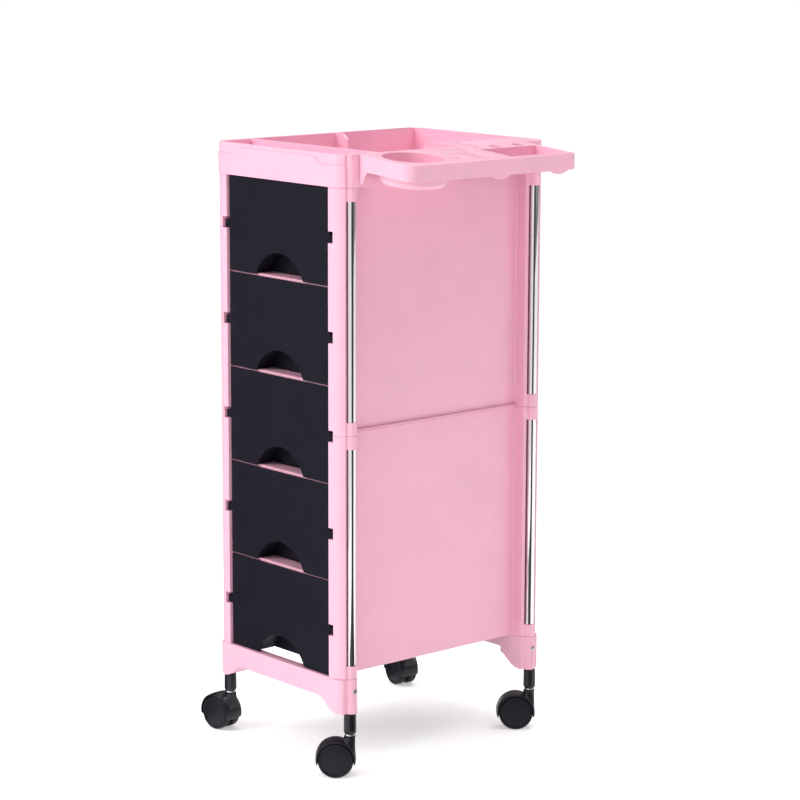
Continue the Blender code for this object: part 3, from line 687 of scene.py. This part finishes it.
class TROLLEY_OT_casters(bpy.types.Operator):
    """Make the four twin-wheel casters: sleeves, ringed stems, hoods and wheels"""

    bl_idname = "trolley.casters"
    bl_label = "Casters"

    def execute(self, context):
        radius = context.scene.salon_trolley.wheel_radius
        for name in ("front_right", "front_left", "rear_right", "rear_left"):
            pivot, hub, ahead, side, trail = caster_frame(name)
            base = (pivot[0], pivot[1], 0.0)
            self.sleeve(name, base)
            self.stem(name, base)
            self.hood(name, radius, hub, ahead, side, trail, pivot[2] - hub[2])
            for mark, sign in (("a", 1.0), ("b", -1.0)):
                node = f"caster_{name}_wheel_{mark}"
                corners = np.array([v.co for v in frame["nodes"][node].data.vertices], float)
                reach = (corners - hub) @ (side * sign)
                line = wheel_profile(radius, reach.min(), reach.max())
                wheel = surface(f"{node}_tread", [lathe(line, 96, hub, side * sign)], 35.0)
                dressed(wheel, "tread", node)
            axle = frame["nodes"][f"caster_{name}_axle"]
            axle.data.materials.clear()
            axle.data.materials.append(finish_material("zinc"))
        return {"FINISHED"}

    def sleeve(self, name, base):
        """Sleeve over the stem: a bored profile, narrowed at its lower end."""
        node = f"caster_{name}_sleeve"
        low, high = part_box(node)
        radius = half_width(node)
        seam = (SLEEVE_BORE, low.z + 0.004)
        profile = rounded(
            [
                seam, (SLEEVE_BORE, low.z), (radius - 0.0011, low.z), (radius, low.z + 0.0030),
                (radius - 0.0003, high.z), (SLEEVE_BORE, high.z), seam,
            ],
            0.0010,
        )
        sleeve = surface(f"caster_{name}_swivel_sleeve", [lathe(profile, 48, base)])
        dressed(sleeve, "hood", node)

    def stem(self, name, base):
        """Steel stem with a tapered ring: a turned profile, closed at both ends."""
        node = f"caster_{name}_stem"
        low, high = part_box(node)
        ring_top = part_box(f"caster_{name}_sleeve")[0].z - RING_GAP
        ring_low = ring_top - RING_HEIGHT
        ring = half_width(node)
        profile = rounded(
            [
                (0.0, low.z), (STEM_ROD, low.z), (STEM_ROD, ring_low), (ring - 0.0004, ring_low),
                (ring, ring_low + 0.0009), (ring - 0.0009, ring_top), (STEM_ROD, ring_top),
                (STEM_ROD, high.z), (0.0, high.z),
            ],
            0.0005,
        )
        stem = surface(f"{node}_ring", [lathe(profile, 48, base)])
        dressed(stem, "zinc", node)

    def hood(self, name, radius, hub, ahead, side, trail, top):
        """Hood, web and neck as one piece, set on the caster's own directions."""
        node = f"caster_{name}_hood"
        outside = radius + HOOD_GAP + HOOD_THICK
        parts = (
            hood_band(outside), web_plate(outside - WEB_INSET),
            neck(trail, top - NECK_CAP, outside - NECK_INSET),
        )
        upward = np.array((0.0, 0.0, 1.0))
        grids = [
            hub + across[..., None] * side + along[..., None] * ahead + height[..., None] * upward
            for across, along, height in parts
        ]
        hood = surface(f"{node}_shell", grids, 45.0)
        dressed(hood, "hood", node)


# --- stage -----------------------------------------------------------------
FLOOR_HALF = 12.0
FLOOR_DROP = 0.0002
WHITE = (1.0, 1.0, 1.0, 1.0)
LIGHTS = (  # name, place, size in metres, watts
    ("key_soft_box", (-1.3, -3.2, 2.3), 2.2, 74.0),
    ("fill_soft_box", (3.6, 0.6, 1.9), 2.4, 3.0),
    ("top_soft_box", (0.2, 0.3, 3.2), 2.6, 46.0),
)
LIGHT_AIM = Vector((0.0, 0.0, 0.45))
ROOM_LEVELS = (  # share of a turn from the back, brightness
    (0.0, 0.34), (0.20, 0.26), (0.34, 0.30), (0.39, 0.85),
    (0.60, 0.85), (0.66, 0.32), (0.76, 0.20), (1.0, 0.34),
)
OVERHEAD = (0.95, 0.95, 0.96)
CARD_TOP = 2.2
FLAGS = (("flag_right", 0.85, -0.56, 0.16), ("flag_left", -0.85, -0.95, 0.30))  # x, y from, y to
FLAG_NEAR = 0.22  # the flags run along the floor to this far from the middle
WHITE_CARD = (-1.2, -0.6, 1.7)  # y, x from, x to
CAMERA_PLACE = (2.8309, -2.4295, 1.1923)
CAMERA_LENS = 119.354
CAMERA_TURN = (49.1204, 10.5347, 0.1774)  # round from the front, down, lean


def flat_piece(name, points, faces, mat):
    """A flat piece of the studio."""
    mesh = bpy.data.meshes.new(name)
    mesh.from_pydata(points, [], faces)
    mesh.materials.append(mat)
    obj = bpy.data.objects.new(name, mesh)
    bpy.context.scene.collection.objects.link(obj)
    return obj


class TROLLEY_OT_stage(bpy.types.Operator):
    """Make the pale floor, the soft studio light and the camera"""

    bl_idname = "trolley.stage"
    bl_label = "Stage"

    def execute(self, context):
        self.floor()
        self.room(context.scene)
        self.lights()
        self.flags()
        self.camera(context.scene)
        context.scene.view_settings.view_transform = "Standard"
        return {"FINISHED"}

    def floor(self):
        """Wide flat floor, a little below the wheels' contact line."""
        mat, tree, shader, place = start_material("pale_studio_floor")
        shader.inputs["Roughness"].default_value = 0.9
        shader.inputs["Emission Color"].default_value = WHITE
        shader.inputs["Emission Strength"].default_value = 0.42
        shader.inputs["Specular IOR Level"].default_value = 0.1
        mix = blend(tree, noise(tree, place, 1.5, 2.0), (0.93, 0.93, 0.93), (0.95, 0.95, 0.95))
        tree.links.new(mix.outputs[2], shader.inputs["Base Color"])
        corners = ((-1, -1), (1, -1), (1, 1), (-1, 1))
        points = [(x * FLOOR_HALF, y * FLOOR_HALF, -FLOOR_DROP) for x, y in corners]
        flat_piece("floor", points, [(0, 1, 2, 3)], mat)

    def room(self, scene):
        """Pale room, bright in front and overhead, darker at the sides and behind.

        Brightness by heading = ramp of atan2(x, -y); the backdrop itself is white.
        """
        world = bpy.data.worlds.new("studio_room")
        scene.world = world
        world.use_nodes = True
        tree = world.node_tree
        tree.nodes.clear()
        place = add_node(tree, "ShaderNodeTexCoord")
        split = add_node(tree, "ShaderNodeSeparateXYZ", links=(("Vector", place, "Generated"),))
        flip = add_node(tree, "ShaderNodeMath", {"operation": "MULTIPLY"}, links=((0, split, "Y"),))
        flip.inputs[1].default_value = -1.0
        heading = add_node(
            tree, "ShaderNodeMath", {"operation": "ARCTAN2"}, links=((0, split, "X"), (1, flip, 0)),
        )
        share = spread(tree, heading, (-math.pi, math.pi))
        bays = add_node(tree, "ShaderNodeValToRGB", links=(("Fac", share, "Result"),))
        band = bays.color_ramp.elements
        for at, level in ROOM_LEVELS[1:-1]:
            band.new(at).color = (level, level, level, 1.0)
        for element, (at, level) in ((band[0], ROOM_LEVELS[0]), (band[-1], ROOM_LEVELS[-1])):
            element.position = at
            element.color = (level, level, level, 1.0)
        lift = add_node(
            tree, "ShaderNodeMapRange", values={"From Min": 0.40, "From Max": 1.0},
            links=(("Value", split, "Z"),),
        )
        mix = blend(tree, lift, OVERHEAD, OVERHEAD)
        tree.links.new(bays.outputs["Color"], mix.inputs[6])
        seen = add_node(tree, "ShaderNodeLightPath")
        room = add_node(tree, "ShaderNodeBackground", values={"Strength": 1.0})
        tree.links.new(mix.outputs[2], room.inputs["Color"])
        white = add_node(tree, "ShaderNodeBackground", values={"Color": WHITE, "Strength": 1.0})
        both = add_node(
            tree, "ShaderNodeMixShader", links=((0, seen, "Is Camera Ray"), (1, room, 0), (2, white, 0)),
        )
        add_node(tree, "ShaderNodeOutputWorld", links=(("Surface", both, 0),))

    def lights(self):
        """Soft boxes: key from the front left, fill from the right, top light overhead."""
        for name, place, size, power in LIGHTS:
            data = bpy.data.lights.new(name, "AREA")
            data.shape = "SQUARE"
            data.size = size
            data.energy = power
            lamp = bpy.data.objects.new(name, data)
            lamp.location = place
            lamp.rotation_euler = (LIGHT_AIM - Vector(place)).to_track_quat("-Z", "Y").to_euler()
            bpy.context.scene.collection.objects.link(lamp)

    def flags(self):
        """Dark flags at the sides and a white card in front, which only reflections see.

        They give the chrome its white and dark streaks.
        """
        mat, tree, shader, place = start_material("black_studio_flag")
        tone = blend(tree, noise(tree, place, 4.0, 2.0), (0.012, 0.011, 0.010), (0.05, 0.045, 0.04))
        tree.links.new(tone.outputs[2], shader.inputs["Base Color"])
        cards = []
        for name, x, y0, y1 in FLAGS:
            line = ((math.copysign(FLAG_NEAR, x), 0.001), (x, 0.001), (x, CARD_TOP))
            points = [(at, y, z) for at, z in line for y in (y0, y1)]
            cards.append(flat_piece(name, points, [(0, 1, 3, 2), (2, 3, 5, 4)], mat))
        white, tree, shader, place = start_material("white_studio_card")
        shader.inputs["Emission Color"].default_value = WHITE
        shader.inputs["Emission Strength"].default_value = 0.95
        shader.inputs["Base Color"].default_value = (0.0, 0.0, 0.0, 1.0)
        y, x0, x1 = WHITE_CARD
        points = [(x0, y, 0.0), (x1, y, 0.0), (x1, y, CARD_TOP), (x0, y, CARD_TOP)]
        cards.append(flat_piece("white_card", points, [(0, 1, 2, 3)], white))
        for card in cards:
            card.visible_camera = False
            card.visible_diffuse = False
            card.visible_shadow = False
            card.visible_transmission = False

    def camera(self, scene):
        """Long lens from the front right, about ten degrees down, with a slight lean."""
        data = bpy.data.cameras.new("camera")
        data.sensor_width = 36.0
        data.lens = CAMERA_LENS
        data.clip_end = 60.0
        camera = bpy.data.objects.new("camera", data)
        yaw, down, lean = (math.radians(angle) for angle in CAMERA_TURN)
        turn = Matrix.Rotation(yaw, 3, "Z") @ Matrix.Rotation(math.pi / 2 - down, 3, "X")
        camera.rotation_euler = (turn @ Matrix.Rotation(lean, 3, "Z")).to_euler()
        camera.location = CAMERA_PLACE
        scene.collection.objects.link(camera)
        scene.camera = camera


class TROLLEY_PT_panel(bpy.types.Panel):
    """Sidebar list of the trolley's pieces and sizes"""

    bl_label = "Salon Trolley"
    bl_idname = "TROLLEY_PT_panel"
    bl_space_type = "VIEW_3D"
    bl_region_type = "UI"
    bl_category = "Trolley"

    def draw(self, context):
        column = self.layout.column()
        for name in TrolleySettings.__annotations__:
            column.prop(context.scene.salon_trolley, name)
        for step in STEPS:
            column.operator(step.bl_idname)


STEPS = (
    TROLLEY_OT_sides,
    TROLLEY_OT_base,
    TROLLEY_OT_rails,
    TROLLEY_OT_tubes,
    TROLLEY_OT_screws,
    TROLLEY_OT_drawers,
    TROLLEY_OT_tray,
    TROLLEY_OT_shelf,
    TROLLEY_OT_casters,
    TROLLEY_OT_stage,
)


def register():
    """Register the settings, the operators and the panel."""
    for cls in (TrolleySettings, *STEPS, TROLLEY_PT_panel):
        bpy.utils.register_class(cls)
    bpy.types.Scene.salon_trolley = bpy.props.PointerProperty(type=TrolleySettings)


def unregister():
    """Remove them again."""
    del bpy.types.Scene.salon_trolley
    for cls in (TROLLEY_PT_panel, *reversed(STEPS), TrolleySettings):
        bpy.utils.unregister_class(cls)


def main():
    register()
    for step in STEPS:
        group, name = step.bl_idname.split(".")
        getattr(getattr(bpy.ops, group), name)()


if __name__ == "__main__":
    main()
